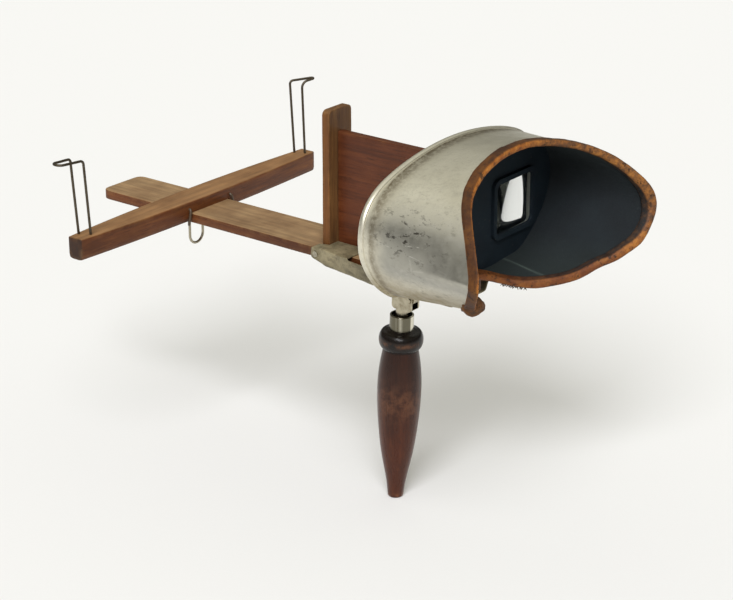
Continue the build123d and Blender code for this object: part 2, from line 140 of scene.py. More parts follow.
def rounded_block(low, high, radius, step, extra_x=()):
    """Points and quads of a block with rounded edges, and each point's distance from the edges."""
    low = np.array(low, float)
    high = np.array(high, float)
    axes = [
        axis_lines(low[0], high[0], radius, step, extra_x),
        axis_lines(low[1], high[1], radius, step),
        axis_lines(low[2], high[2], radius, step),
    ]
    counts = [len(a) for a in axes]
    index = {}
    points = []

    def corner(i, j, k):
        if (i, j, k) not in index:
            index[(i, j, k)] = len(points)
            points.append((axes[0][i], axes[1][j], axes[2][k]))
        return index[(i, j, k)]

    faces = []
    for fixed in range(3):
        a, b = [n for n in range(3) if n != fixed]
        for side in (0, counts[fixed] - 1):
            for m in range(counts[a] - 1):
                for n in range(counts[b] - 1):
                    quad = []
                    for dm, dn in ((0, 0), (1, 0), (1, 1), (0, 1)):
                        place = [0, 0, 0]
                        place[fixed] = side
                        place[a] = m + dm
                        place[b] = n + dn
                        quad.append(corner(*place))
                    faces.append(quad)
    flat = np.array(points)
    gaps = np.sort(np.minimum(flat - low, high - flat), axis=1)
    edge_distance = gaps[:, 1]
    inner = np.clip(flat, low + radius, high - radius)
    out = flat - inner
    length = np.linalg.norm(out, axis=1, keepdims=True)
    rounded = inner + out / np.maximum(length, 1e-9) * radius
    return rounded, faces, edge_distance


def round_corner(points, a, b, corner, inwards, radius):
    """Rounds one square corner of the section across axes a and b, in place."""
    centre = np.array(corner, float) + np.array(inwards, float) * radius
    local = points[:, [a, b]] - centre
    out = -local * np.array(inwards, float)
    touched = (out > 0).all(axis=1)
    reach = local[touched]
    square = np.abs(reach).max(axis=1)
    length = np.maximum(np.linalg.norm(reach, axis=1), 1e-9)
    moved = reach * (square / length)[:, None] + centre
    points[touched, a] = moved[:, 0]
    points[touched, b] = moved[:, 1]


def wobble(points, size, amount, seed=0.0):
    """A smooth offset for each point, so that no surface is perfectly true."""
    shift = Vector((seed, seed * 0.7, -seed))
    return np.array([amount * noise.noise(Vector(p) / size + shift) for p in points])


def lathe(profile, segments):
    """Points and faces of a turned shape about the Z axis, from a closed (radius, height) profile."""
    count = len(profile)
    points = []
    for s in range(segments):
        turn = 2 * math.pi * s / segments
        points += [(r * math.cos(turn), r * math.sin(turn), z) for r, z in profile]
    return np.array(points), ring_faces(segments, count)


def smooth_path(points, count):
    """A natural curve through points, evaluated evenly by chord length."""
    points = np.array(points, float)
    knots = np.concatenate([[0], np.cumsum(np.linalg.norm(np.diff(points, axis=0), axis=1))])
    size = len(points)
    system = np.zeros((size, size))
    right = np.zeros((size, points.shape[1]))
    system[0, 0] = system[-1, -1] = 1.0
    for i in range(1, size - 1):
        before = knots[i] - knots[i - 1]
        after = knots[i + 1] - knots[i]
        system[i, i - 1:i + 2] = (before, 2 * (before + after), after)
        right[i] = 6 * ((points[i + 1] - points[i]) / after - (points[i] - points[i - 1]) / before)
    bend = np.linalg.solve(system, right)
    places = np.linspace(0, knots[-1], count)
    return cubic_at(points, bend, knots, places)


def cubic_at(points, bend, knots, places):
    """Values of a cubic spline with second derivatives bend, at places."""
    spans = np.clip(np.searchsorted(knots, places, side="right") - 1, 0, len(knots) - 2)
    width = (knots[spans + 1] - knots[spans])[:, None]
    left = (knots[spans + 1] - places)[:, None] / width
    right = (places - knots[spans])[:, None] / width
    here = points[spans]
    there = points[spans + 1]
    curve = (left ** 3 - left) * bend[spans] + (right ** 3 - right) * bend[spans + 1]
    return left * here + right * there + curve * width ** 2 / 6


def closed_curve(points, count):
    """A smooth closed curve through points, evaluated evenly by chord length."""
    points = np.array(points, float)
    size = len(points)
    steps = np.linalg.norm(np.roll(points, -1, axis=0) - points, axis=1)
    system = np.zeros((size, size))
    right = np.zeros((size, points.shape[1]))
    for i in range(size):
        before = steps[i - 1]
        after = steps[i]
        system[i, i - 1] += before
        system[i, i] += 2 * (before + after)
        system[i, (i + 1) % size] += after
        ahead = points[(i + 1) % size] - points[i]
        behind = points[i] - points[i - 1]
        right[i] = 6 * (ahead / after - behind / before)
    bend = np.linalg.solve(system, right)
    knots = np.concatenate([[0], np.cumsum(steps)])
    places = np.linspace(0, knots[-1], count, endpoint=False)
    return cubic_at(np.vstack([points, points[:1]]), np.vstack([bend, bend[:1]]), knots, places)


# ---- hood surfaces ---------------------------------------

HOOD_FRONT = -33.0
HOOD_LOFT_BACK = -111.5
HOOD_SHEET = 0.8
LINING = 0.7
WIDEST_Z = 167.0
HOOD_MIDDLE_Z = 172.0
LENS_END = [
    (0, 140.8), (8, 140.8), (14, 140.7), (21, 140.6), (28, 140.5), (35, 140.4), (42, 140.2),
    (49, 141.2), (54, 144.2), (59.5, 148.5), (64, 153), (68, 158), (71, 163), (73.7, 169), (75, 179),
    (72, 190.6), (64, 198.8), (52, 204.2), (36, 208.3), (18, 211), (0, 211.9),
]
EYE_END_X = [
    0, 8, 16.9, 22, 28, 33.5, 41, 50.3, 57.6, 64.5, 69.3, 73.7, 77.7, 80.5, 79.7, 70.5, 61, 50, 35,
    18, 0,
]
EYE_END_TOP = [173.7, 188.6, 198, 204.6, 210.8, 215.4, 216.9]
EYE_END_RIGHT = [
    134.1, 126.2, 122.2, 123.3, 126.6, 129.7, 133.6, 139.6, 142.5, 146.9, 150.1, 154.5, 160.1, 167,
]
EYE_END_LEFT = [
    134.1, 134.4, 135.2, 136.4, 138, 139.8, 142.6, 148, 151.4, 155.6, 158.8, 162.6, 167, 172,
]
BROW_PLAN = [
    (0, -73.5), (22, -75), (42, -79.3), (59.5, -88), (70.5, -98), (76.5, -104.2), (79.6, -106.9),
    (85, -107.9),
]
NOSE_RIGHT = [
    (0, -50.9), (12, -57.1), (22, -67.8), (33, -78.6), (50, -91.6), (64, -101.9), (73, -106.2),
    (79.6, -107.1), (85, -107.9),
]
NOSE_LEFT = [
    (0, -50.9), (12, -56.6), (22, -64), (33, -71), (50, -82.4), (64, -94.2), (73, -101.4),
    (79.6, -106.3), (85, -107.9),
]
PLAN_BLEND = 5.0            # height over which the two plans run into each other
AROUND = 420                # steps round the hood


def grown_outline(right, left, grow):
    """Points round a section given as its right and left halves, moved outwards by grow."""
    whole = list(right) + [(-x, z) for x, z in reversed(left[1:-1])]
    moved = []
    for i, (x, z) in enumerate(whole):
        before = whole[i - 1]
        after = whole[(i + 1) % len(whole)]
        along = Vector((after[0] - before[0], after[1] - before[1])).normalized()
        moved.append((x + along.y * grow, z - along.x * grow))
    return moved


sections = {}


def section_pair(grow):
    """The hood's outline at the lens end and at the eye end, both moved outwards by grow."""
    if grow not in sections:
        right = list(zip(EYE_END_X, EYE_END_RIGHT + EYE_END_TOP))
        left = list(zip(EYE_END_X, EYE_END_LEFT + EYE_END_TOP))
        lens = closed_curve(grown_outline(LENS_END, LENS_END, grow), AROUND)
        eye = closed_curve(grown_outline(right, left, grow), AROUND)
        sections[grow] = (lens, eye)
    return sections[grow]


def hood_at(y, grow):
    """Points round the hood at the given y values."""
    lens, eye = section_pair(grow)
    share = ((HOOD_FRONT - y) / (HOOD_FRONT - HOOD_LOFT_BACK))[:, None]
    flat = lens * (1 - share) + eye * share
    return np.column_stack([flat[:, 0], y, flat[:, 1]])


def plan_table(right, left):
    """The edge's y value for each x, as a smooth curve across the hood."""
    whole = [(-x, y) for x, y in reversed(left[1:])] + list(right)
    return smooth_path(whole, 800)


brow_table = plan_table(BROW_PLAN, BROW_PLAN)
nose_table = plan_table(NOSE_RIGHT, NOSE_LEFT)


def rim_y(grow, shift=0.0):
    """Where the eye-side edge, moved by shift towards the card, meets the hood's surface."""
    y = np.full(AROUND, -80.0)
    for _ in range(40):
        here = hood_at(y, grow)
        brow = np.interp(here[:, 0], brow_table[:, 0], brow_table[:, 1])
        nose = np.interp(here[:, 0], nose_table[:, 0], nose_table[:, 1])
        over = np.clip((here[:, 2] - WIDEST_Z) / (2 * PLAN_BLEND) + 0.5, 0, 1)
        over = over * over * (3 - 2 * over)
        y = brow * over + nose * (1 - over) + shift
    return y


def hood_band(profile):
    """Points of a closed section swept round the hood.  Each row of profile is (share, shift, grow):
    share of the way from the lens end to the eye-side edge, a shift towards the card, and the
    distance outwards from the hood's surface."""
    rows = []
    for share, shift, grow in profile:
        if share >= 1:
            y = rim_y(grow, shift)
        else:
            y = (1 - share) * (HOOD_FRONT + shift) + share * (rim_y(grow) + shift)
        rows.append(hood_at(y, grow))
    return np.array(rows).transpose(1, 0, 2).reshape(-1, 3)


def arc_profile(centre, size, start, end, count):
    """Points (shift, grow) of an elliptical arc, angles in degrees."""
    angles = np.radians(np.linspace(start, end, count))
    return [(centre[0] + size[0] * math.cos(a), centre[1] + size[1] * math.sin(a)) for a in angles]


# ---- materials -------------------------------------------

class Finish:
    """One procedural material and short ways to add its nodes."""

    def __init__(self, name):
        self.material = bpy.data.materials.new(name)
        self.material.use_nodes = True
        self.tree = self.material.node_tree
        self.shader = next(n for n in self.tree.nodes if n.type == "BSDF_PRINCIPLED")
        self.place = self.tree.nodes.new("ShaderNodeTexCoord").outputs["Object"]

    def put(self, socket, value):
        if isinstance(value, bpy.types.NodeSocket):
            self.tree.links.new(value, socket)
        elif isinstance(value, (tuple, list)) and len(value) == 3 and socket.type == "RGBA":
            socket.default_value = (*value, 1.0)
        else:
            socket.default_value = value

    def shader_set(self, **values):
        for key, value in values.items():
            self.put(self.shader.inputs[key.replace("_", " ")], value)

    def stretched(self, scale=(1, 1, 1), turn=(0, 0, 0), place=(0, 0, 0)):
        mapping = self.tree.nodes.new("ShaderNodeMapping")
        self.put(mapping.inputs["Vector"], self.place)
        mapping.inputs["Scale"].default_value = scale
        mapping.inputs["Rotation"].default_value = [math.radians(t) for t in turn]
        mapping.inputs["Location"].default_value = place
        return mapping.outputs["Vector"]

    def noise(self, scale, detail=3.0, roughness=0.55, vector=None, distortion=0.0):
        node = self.tree.nodes.new("ShaderNodeTexNoise")
        self.put(node.inputs["Vector"], vector or self.place)
        node.inputs["Scale"].default_value = scale
        node.inputs["Detail"].default_value = detail
        node.inputs["Roughness"].default_value = roughness
        node.inputs["Distortion"].default_value = distortion
        return node.outputs["Fac"]

    def cells(self, scale, feature="F1", vector=None):
        node = self.tree.nodes.new("ShaderNodeTexVoronoi")
        node.feature = feature
        self.put(node.inputs["Vector"], vector or self.place)
        node.inputs["Scale"].default_value = scale
        return node.outputs["Distance"]

    def attribute(self, name):
        node = self.tree.nodes.new("ShaderNodeAttribute")
        node.attribute_name = name
        return node.outputs["Fac"]

    def height(self):
        node = self.tree.nodes.new("ShaderNodeSeparateXYZ")
        self.put(node.inputs[0], self.place)
        return node.outputs["Z"]

    def span(self, value, low, high, to_low=0.0, to_high=1.0):
        node = self.tree.nodes.new("ShaderNodeMapRange")
        node.clamp = True
        self.put(node.inputs["Value"], value)
        node.inputs["From Min"].default_value = low
        node.inputs["From Max"].default_value = high
        node.inputs["To Min"].default_value = to_low
        node.inputs["To Max"].default_value = to_high
        return node.outputs["Result"]

    def math(self, operation, a, b=0.0):
        node = self.tree.nodes.new("ShaderNodeMath")
        node.operation = operation
        node.use_clamp = True
        self.put(node.inputs[0], a)
        self.put(node.inputs[1], b)
        return node.outputs[0]

    def mix(self, share, a, b):
        node = self.tree.nodes.new("ShaderNodeMix")
        node.data_type = "RGBA"
        sockets = [s for s in node.inputs if s.enabled]
        self.put(sockets[0], share)
        self.put(sockets[1], a)
        self.put(sockets[2], b)
        return next(s for s in node.outputs if s.enabled)

    def bump(self, height, distance_mm, strength=1.0, base=None):
        node = self.tree.nodes.new("ShaderNodeBump")
        self.put(node.inputs["Height"], height)
        node.inputs["Distance"].default_value = distance_mm * MM
        node.inputs["Strength"].default_value = strength
        if base is not None:
            self.put(node.inputs["Normal"], base)
        return node.outputs["Normal"]


def srgb(text):
    """Linear colour from a web colour."""
    values = [int(text[i:i + 2], 16) / 255 for i in (0, 2, 4)]
    return tuple(v / 12.92 if v <= 0.04045 else ((v + 0.055) / 1.055) ** 2.4 for v in values)


GRAIN_STRETCH = 0.05        # how much slower the grain changes along the wood than across it


def wood(name, along, deep, mid, pale, edge, polish, faded=None, seed=0.0):
    """Old polished wood.  along is the grain's axis; edge is the colour of worn edges and faded the
    colour of surfaces marked with the faded attribute."""
    f = Finish(name)
    lengthwise = [GRAIN_STRETCH if n == along else 1.0 for n in range(3)]
    grain_space = f.stretched(lengthwise, place=(seed, seed * 0.6, seed * 1.7))
    broad = f.noise(55, 3, 0.6, grain_space, 0.6)
    streaks = f.noise(420, 5, 0.7, grain_space, 0.2)
    fine = f.noise(1500, 3, 0.7, grain_space)
    blotch = f.noise(38, 3, 0.6)
    colour = f.mix(f.span(broad, 0.3, 0.7), deep, mid)
    colour = f.mix(f.span(streaks, 0.48, 0.75, 0, 0.6), colour, pale)
    colour = f.mix(f.span(streaks, 0.3, 0.5, 0.55, 0), colour, tuple(0.35 * c for c in deep))
    colour = f.mix(f.span(fine, 0.58, 0.70, 0, 0.75), colour, tuple(0.3 * c for c in deep))
    if faded is not None:
        share = f.math("MULTIPLY", f.attribute("faded"), f.span(broad, 0.2, 0.8, 0.75, 1.0))
        old = f.mix(f.span(streaks, 0.35, 0.65), tuple(0.62 * c for c in faded), faded)
        colour = f.mix(share, colour, old)
    colour = f.mix(f.span(blotch, 0.38, 0.7, 0, 0.5), colour, tuple(0.45 * c for c in mid))
    dirt = f.span(f.noise(120, 4, 0.7), 0.25, 0.6, 0.6, 1.0)
    dirt = f.math("MULTIPLY", f.attribute("dirty"), dirt)
    colour = f.mix(dirt, colour, srgb("241811"))
    wear = f.math("MULTIPLY", f.attribute("wear"), f.span(f.noise(160, 4, 0.7), 0.42, 0.62))
    colour = f.mix(f.math("MULTIPLY", wear, 0.22), colour, edge)
    uneven = f.math("ADD", f.math("MULTIPLY", streaks, 0.4), f.math("MULTIPLY", blotch, 0.6))
    rough = f.span(uneven, 0.3, 0.7, polish - 0.08, polish + 0.14)
    f.shader_set(Base_Color=colour, Roughness=rough, Specular_IOR_Level=0.3)
    f.shader_set(Coat_Weight=0.06, Coat_Roughness=0.22)
    low = f.bump(streaks, 0.10, 0.5)
    f.shader_set(Normal=f.bump(f.span(fine, 0.55, 0.75, 1, 0), 0.08, 0.5, low))
    return f.material


SCRATCHES = (               # scale, turn and width of each family of scratches
    (60, (12, 18, 0), 0.012),
    (47, (-30, 8, 10), 0.010),
    (35, (60, -15, 5), 0.008),
)


def aluminium():
    """Old bright sheet: brushed, with a painted reflection darkening a band across the cheeks, grime
    along the bead, dark gouges and bright scratches."""
    f = Finish("hood_sheet")
    mottled = f.noise(300, 6, 0.75)
    cloudy = f.noise(30, 4, 0.6)
    colour = f.mix(f.span(cloudy, 0.3, 0.7), srgb("d6d1bf"), srgb("ece8d7"))
    colour = f.mix(f.span(mottled, 0.45, 0.75, 0, 0.38), colour, srgb("8f8b80"))
    # painted reflection: the sheet is darkened in a band across the cheeks, and less below it, where
    # the dark horizon would mirror
    painted_reflection_band = f.math("MULTIPLY", f.attribute("painted_reflection_band"), f.span(cloudy, 0.25, 0.7, 1.0, 0.75))
    colour = f.mix(painted_reflection_band, colour, srgb("a19f96"))
    stain = f.span(f.noise(120, 5, 0.7), 0.3, 0.62, 0.35, 1.0)
    stain = f.math("MULTIPLY", f.attribute("stain"), stain)
    colour = f.mix(stain, colour, srgb("9c8f70"))
    grime = f.math("MULTIPLY", f.attribute("grime"), f.span(f.noise(420, 4, 0.7), 0.25, 0.55))
    colour = f.mix(f.math("MULTIPLY", grime, 0.9), colour, srgb("5f4f33"))
    marks = f.span(f.noise(400, 5, 0.75, f.stretched((1.0, 0.4, 0.75), (25, 0, 0))), 0.565, 0.62)
    marks = f.math("MULTIPLY", f.attribute("gouge"), marks)
    specks = f.span(f.cells(620), 0.05, 0.11, 1, 0)
    specks = f.math("MULTIPLY", specks, f.span(f.noise(90, 3, 0.6), 0.52, 0.6))
    dark = f.math("MAXIMUM", marks, specks)
    colour = f.mix(f.math("MULTIPLY", dark, 0.9), colour, srgb("3a352e"))
    hair = []
    for scale, turn, width in SCRATCHES:
        lines = f.cells(scale, "DISTANCE_TO_EDGE", f.stretched((1.0, 0.25, 1.0), turn))
        broken = f.span(f.noise(85, 3, 0.6, f.stretched(turn=turn)), 0.57, 0.62)
        hair.append(f.math("MULTIPLY", f.span(lines, width * 0.4, width, 1, 0), broken))
    scratch = f.math("MAXIMUM", f.math("MAXIMUM", hair[0], hair[1]), hair[2])
    scratch = f.math("MULTIPLY", scratch, f.span(f.attribute("gouge"), 0.3, 0.8, 0.15, 1.0))
    colour = f.mix(f.math("MULTIPLY", scratch, 0.7), colour, srgb("f2f0e8"))
    rough = f.span(mottled, 0.3, 0.75, 0.30, 0.52)
    rough = f.math("ADD", rough, f.math("MULTIPLY", stain, 0.16))
    f.shader_set(Base_Color=colour, Metallic=0.9, Roughness=rough)
    brushed = f.noise(900, 2, 0.6, f.stretched((1, 0.06, 1)))
    relief = f.bump(brushed, 0.02, 0.35)
    relief = f.bump(mottled, 0.05, 0.4, relief)
    relief = f.bump(f.math("SUBTRACT", 1.0, f.math("MAXIMUM", dark, scratch)), 0.08, 0.6, relief)
    f.shader_set(Normal=relief)
    return f.material


def saddle_metal():
    f = Finish("saddle_sheet")
    mottled = f.noise(260, 6, 0.75)
    cloudy = f.noise(60, 4, 0.6)
    colour = f.mix(f.span(cloudy, 0.35, 0.65), srgb("6c644a"), srgb("9d9273"))
    colour = f.mix(f.span(mottled, 0.46, 0.7, 0, 0.75), colour, srgb("4b4130"))
    specks = f.span(f.cells(700), 0.06, 0.14, 1, 0)
    colour = f.mix(f.math("MULTIPLY", specks, 0.55), colour, srgb("453f34"))
    rough = f.span(mottled, 0.3, 0.75, 0.42, 0.66)
    f.shader_set(Base_Color=colour, Metallic=0.35, Roughness=rough)
    f.shader_set(Normal=f.bump(mottled, 0.10, 0.6))
    return f.material


def leather():
    """Worn tan binding: orange where rubbed, dark brown outside, redder below, greyer on the right."""
    f = Finish("binding_leather")
    broad = f.noise(60, 4, 0.65)
    pores = f.cells(900)
    cracks = f.cells(260, "DISTANCE_TO_EDGE")
    colour = f.mix(f.span(broad, 0.3, 0.7), srgb("84481a"), srgb("b37029"))
    streak = f.noise(240, 5, 0.7)
    colour = f.mix(f.span(streak, 0.5, 0.7, 0, 0.5), colour, srgb("c48a42"))
    colour = f.mix(f.span(streak, 0.30, 0.48, 0.75, 0), colour, srgb("4c270f"))
    outer = f.math("MULTIPLY", f.attribute("outer"), f.span(broad, 0.2, 0.7, 1.0, 0.75))
    colour = f.mix(outer, colour, srgb("341c0a"))
    red = f.math("MULTIPLY", f.attribute("red"), f.span(broad, 0.25, 0.75, 0.95, 0.55))
    colour = f.mix(red, colour, srgb("5a2f18"))
    greasy = f.math("MULTIPLY", f.attribute("greasy"), f.span(streak, 0.3, 0.62, 1.0, 0.35))
    colour = f.mix(f.math("MULTIPLY", greasy, 0.9), colour, srgb("41372a"))
    dark_lap = f.math("MULTIPLY", f.attribute("inside"), f.span(streak, 0.25, 0.6, 1.0, 0.85))
    colour = f.mix(dark_lap, colour, srgb("14191b"))
    spots = f.span(f.noise(210, 4, 0.7, f.stretched((1, 1.3, 1))), 0.57, 0.63)
    colour = f.mix(f.math("MULTIPLY", spots, 0.85), colour, srgb("2c1a0d"))
    colour = f.mix(f.span(f.noise(560, 4, 0.75), 0.56, 0.66, 0, 0.8), colour, srgb("3a2412"))
    f.shader_set(Base_Color=colour, Roughness=f.span(broad, 0.3, 0.7, 0.58, 0.78))
    f.shader_set(Specular_IOR_Level=0.3)
    relief = f.bump(f.span(pores, 0.0, 0.6), 0.06, 0.5)
    relief = f.bump(f.span(cracks, 0.0, 0.05), 0.07, 0.35, relief)
    f.shader_set(Normal=f.bump(streak, 0.18, 0.6, relief))
    return f.material


def velvet():
    f = Finish("lining_velvet")
    nap = f.noise(1100, 4, 0.75)
    cloudy = f.noise(45, 4, 0.65)
    colour = f.mix(f.span(cloudy, 0.3, 0.7), srgb("091015"), srgb("10191e"))
    colour = f.mix(f.span(nap, 0.5, 0.8, 0, 0.3), colour, srgb("202b2d"))
    colour = f.mix(f.math("MULTIPLY", f.attribute("floor"), 0.4), colour, srgb("222b26"))
    # painted highlight: a light line along the crest of the lining's fold on each side of its floor
    painted_fold_highlight = f.math("MULTIPLY", f.attribute("painted_fold_highlight"), f.span(cloudy, 0.3, 0.6, 0.4, 0.9))
    colour = f.mix(painted_fold_highlight, colour, srgb("4a564f"))
    f.shader_set(Base_Color=colour, Roughness=0.9)
    f.shader_set(Sheen_Weight=0.09, Sheen_Roughness=0.5, Sheen_Tint=srgb("82a09a"))
    relief = f.bump(nap, 0.25, 0.7)
    f.shader_set(Normal=f.bump(cloudy, 0.5, 0.4, relief))
    return f.material


def black_paint():
    f = Finish("blackened_board")
    broad = f.noise(70, 4, 0.65)
    grain = f.noise(600, 4, 0.7, f.stretched((0.08, 1, 1)))
    colour = f.mix(f.span(broad, 0.3, 0.7), srgb("0e1820"), srgb("17232b"))
    chips = f.span(f.noise(420, 5, 0.75), 0.64, 0.7)
    colour = f.mix(f.math("MULTIPLY", chips, 0.5), colour, srgb("5b5242"))
    f.shader_set(Base_Color=colour, Roughness=f.span(broad, 0.3, 0.7, 0.6, 0.85))
    f.shader_set(Specular_IOR_Level=0.25, Normal=f.bump(grain, 0.08, 0.5))
    return f.material


def bright_metal(name, base, rough, stain, speckle=0.35, scale=240):
    f = Finish(name)
    mottled = f.noise(scale, 6, 0.7)
    colour = f.mix(f.span(mottled, 0.46, 0.72, 0, speckle), base, stain)
    roughness = f.span(mottled, 0.3, 0.7, rough, rough + 0.18)
    f.shader_set(Base_Color=colour, Metallic=1.0, Roughness=roughness)
    f.shader_set(Normal=f.bump(mottled, 0.03, 0.4))
    return f.material


DULL_FROM = 0.1285          # heights, in metres, between which the keeper's wire turns dull
DULL_TO = 0.1335


def keeper_metal():
    """Bright wire, dull and brown where it lies against the bar."""
    f = Finish("keeper_steel")
    mottled = f.noise(500, 6, 0.7)
    colour = f.mix(f.span(mottled, 0.46, 0.72, 0, 0.5), srgb("b3ab97"), srgb("7a6c52"))
    dull = f.span(f.height(), DULL_FROM, DULL_TO)
    colour = f.mix(f.math("MULTIPLY", dull, 0.92), colour, srgb("3d2a1a"))
    f.shader_set(Base_Color=colour, Metallic=f.span(dull, 0, 1, 1.0, 0.3), Roughness=0.4)
    return f.material


def fibre():
    f = Finish("frayed_thread")
    colour = f.mix(f.span(f.noise(400, 3), 0.3, 0.7), srgb("1d140b"), srgb("4a3018"))
    f.shader_set(Base_Color=colour, Roughness=0.9)
    return f.material


def ferrule_metal():
    """Bright tube with a painted reflection: upright light and dark bands in its colour, with a
    matching bump.
    """
    f = Finish("nickel_with_painted_reflections")
    painted_upright_reflections = f.noise(170, 3, 0.6, f.stretched((1, 1, 0.02)))
    mottled = f.noise(500, 5, 0.7)
    # painted reflection: upright light and dark bands of the surroundings mirrored in the tube
    colour = f.mix(f.span(painted_upright_reflections, 0.42, 0.58), srgb("6d695a"), srgb("ddd8c6"))
    colour = f.mix(f.span(mottled, 0.5, 0.75, 0, 0.4), colour, srgb("7c7159"))
    f.shader_set(Base_Color=colour, Metallic=1.0, Roughness=f.span(mottled, 0.3, 0.7, 0.16, 0.3))
    f.shader_set(Normal=f.bump(painted_upright_reflections, 0.04, 0.4))
    return f.material


def glass():
    f = Finish("lens_glass_clear")
    dust = f.noise(500, 4, 0.7)
    f.shader_set(Base_Color=(0.97, 0.985, 0.975), Roughness=f.span(dust, 0.5, 0.8, 0.0, 0.06))
    f.shader_set(IOR=1.5, Transmission_Weight=1.0)
    return f.material


def floor_paper():
    f = Finish("floor_paper")
    tooth = f.noise(800, 3, 0.6)
    colour = f.mix(f.span(tooth, 0.3, 0.7), (0.805, 0.805, 0.80), (0.815, 0.815, 0.81))
    f.shader_set(Base_Color=colour, Roughness=0.95, Specular_IOR_Level=0.0)
    return f.material


# ---- the hood and what is fixed in it --------------------

def around_values(points, rows):
    """x, y and z of points that hood_band made."""
    grid = points.reshape(AROUND, rows, 3)
    return grid[:, :, 0], grid[:, :, 1], grid[:, :, 2]


def build_hood_shell():
    bead = arc_profile((-1.6, 0.0), (1.6, 1.0), 180, 0, 11)
    outside = [(share, 0.0, 0.0) for share in np.linspace(1.0, 0.075, 34)]
    profile = outside + [(0.0, -3.9, -0.03)] + [(0.0, shift, grow) for shift, grow in bead]
    profile += [(0.0, 0.0, -0.4), (0.0, 0.0, -HOOD_SHEET)]
    profile += [(share, 0.0, -HOOD_SHEET) for share in np.linspace(0.05, 1.0, 16)]
    points = hood_band(profile)
    rows = len(profile)
    x, y, z = around_values(points, rows)
    outside_row = np.zeros((AROUND, rows))
    outside_row[:, :len(outside) - 1] = 1.0
    fade = ramp(y, HOOD_FRONT - 4.5, HOOD_FRONT - 12.5) * outside_row
    dents = wobble(points, 21, 0.22, 3.1) + wobble(points, 8, 0.07, 9.4)
    middle = np.array([0, 0, HOOD_MIDDLE_Z])
    out = points - middle
    out[:, 1] = 0
    out /= np.linalg.norm(out, axis=1, keepdims=True)
    points = points + out * (np.minimum(dents, 0.25) * fade.ravel())[:, None]
    stain = ramp(z, 163, 149) * (x < 10) + 0.25 * bump_at(y, HOOD_FRONT - 8, 5)
    grime = bump_at(y, HOOD_FRONT - 4.5, 1.2) + 0.7 * bump_at(y, HOOD_FRONT - 7.5, 2.8)
    gouge = bump_at(z, 186, 12) * bump_at(y, -62, 22)
    gouge += 0.5 * bump_at(z, 158, 10) * bump_at(y, -75, 18)
    # painted reflection: a dark band across the cheeks, weaker on the low part, standing in for the
    # dark horizon mirrored in the sheet
    painted_reflection_band = ramp(z, 202, 188) * np.maximum(ramp(z, 154, 166), 0.15)
    painted_reflection_band *= ramp(y, HOOD_FRONT - 6, HOOD_FRONT - 18)
    values = {
        "stain": np.clip(stain, 0, 1).ravel(),
        "grime": (np.clip(grime, 0, 1) * outside_row).ravel(),
        "gouge": np.clip(gouge, 0, 1).ravel(),
        "painted_reflection_band": (painted_reflection_band * outside_row).ravel(),
    }
    return make_piece("hood_sheet", points, ring_faces(AROUND, rows), 50, values)


BINDING_OUT = 1.25          # how far the leather stands off the sheet
BINDING_IN = 1.25           # and off the lining
BINDING_LAP = 4.8           # how far it covers the sheet
FOLD_END_X = -57.0          # where the strip's ends are folded over each other
FOLD_END_PLACE = (-59.6, -91.6, 152.9)
FOLD_END_SIZE = (5.4, 5.0, 4.7)


def build_binding():
    """A folded leather strip over the eye-side edge, with a longer, redder lap on the nose."""
    lined = -(HOOD_SHEET + LINING)
    top = BINDING_OUT
    deep = lined - BINDING_IN
    centre = (top + deep) / 2
    outer_lap = [
        (BINDING_LAP, 0.03), (4.75, 0.6 * top), (4.4, 0.9 * top), (3.4, 0.97 * top),
        (2.2, top), (0.9, top),
    ]
    arc = arc_profile((0, centre), (1.7, top - centre), 90, -90, 17)
    fold = [(0.3 - shift, grow) for shift, grow in arc]
    inner_lap = [
        (0.9, deep), (2.2, deep), (3.4, 0.97 * deep), (4.3, 0.9 * deep), (4.7, lined - 0.5),
        (BINDING_LAP, lined - 0.03),
    ]
    profile = outer_lap + fold + inner_lap + [(0.6, lined - 0.05), (0.6, -0.05)]
    edge = hood_at(rim_y(centre), centre)
    on_nose = bump_at(edge[:, 0] - 8, 0, 17) * (edge[:, 2] < 150)
    rows = []
    for i, (shift, grow) in enumerate(profile):
        inner = i >= len(outer_lap) + len(fold) and i < len(profile) - 2
        longer = 1 + 0.9 * on_nose if inner else 1.0
        y = rim_y(grow, shift * longer)
        rows.append(hood_at(y, grow))
    points = np.array(rows).transpose(1, 0, 2).reshape(-1, 3)
    count = len(profile)
    x, _, z = around_values(points, count)
    grow = np.tile([g for _, g in profile], (AROUND, 1))
    shift = np.tile([s for s, _ in profile], (AROUND, 1))
    number = np.tile(np.arange(count), (AROUND, 1))
    lumps = wobble(points, 9, 0.30, 5.2) + wobble(points, 2.6, 0.16, 1.7)
    middle = np.array([0, -95, HOOD_MIDDLE_Z])
    out = points - middle
    out /= np.linalg.norm(out, axis=1, keepdims=True)
    shown = (number > 0) & (number < count - 3)
    points = points + out * (np.minimum(lumps, 0.22) * shown.ravel())[:, None]
    core = hood_at(rim_y(centre, 1.4), centre)
    folded_end = bump_at(core[:, 0], FOLD_END_X, 7.0) * (core[:, 2] < 155)
    core = np.repeat(core, count, axis=0)
    fold_share = np.repeat(folded_end, count)[:, None]
    at_corner = ramp(core[:, 0], -71, -78) * (grow.ravel() < centre)
    points = core + (points - core) * (1 + 0.3 * fold_share - 0.5 * at_corner[:, None])
    outer = ramp(grow, 0.3 * top, 0.7 * top) * ramp(shift, -1.2, -0.3)
    inside = ramp(grow, 0.6 * deep, 0.6 * deep - 0.5) * ramp(shift, -0.2, 0.6)
    values = {
        "outer": outer.ravel(),
        "inside": (inside * (1 - on_nose[:, None])).ravel(),
        "red": ramp(z, 152, 140).ravel(),
        "greasy": (ramp(x, 2, 28) * ramp(z, 140, 162)).ravel(),
    }
    return make_piece("leather_binding", points, ring_faces(AROUND, count), None, values)


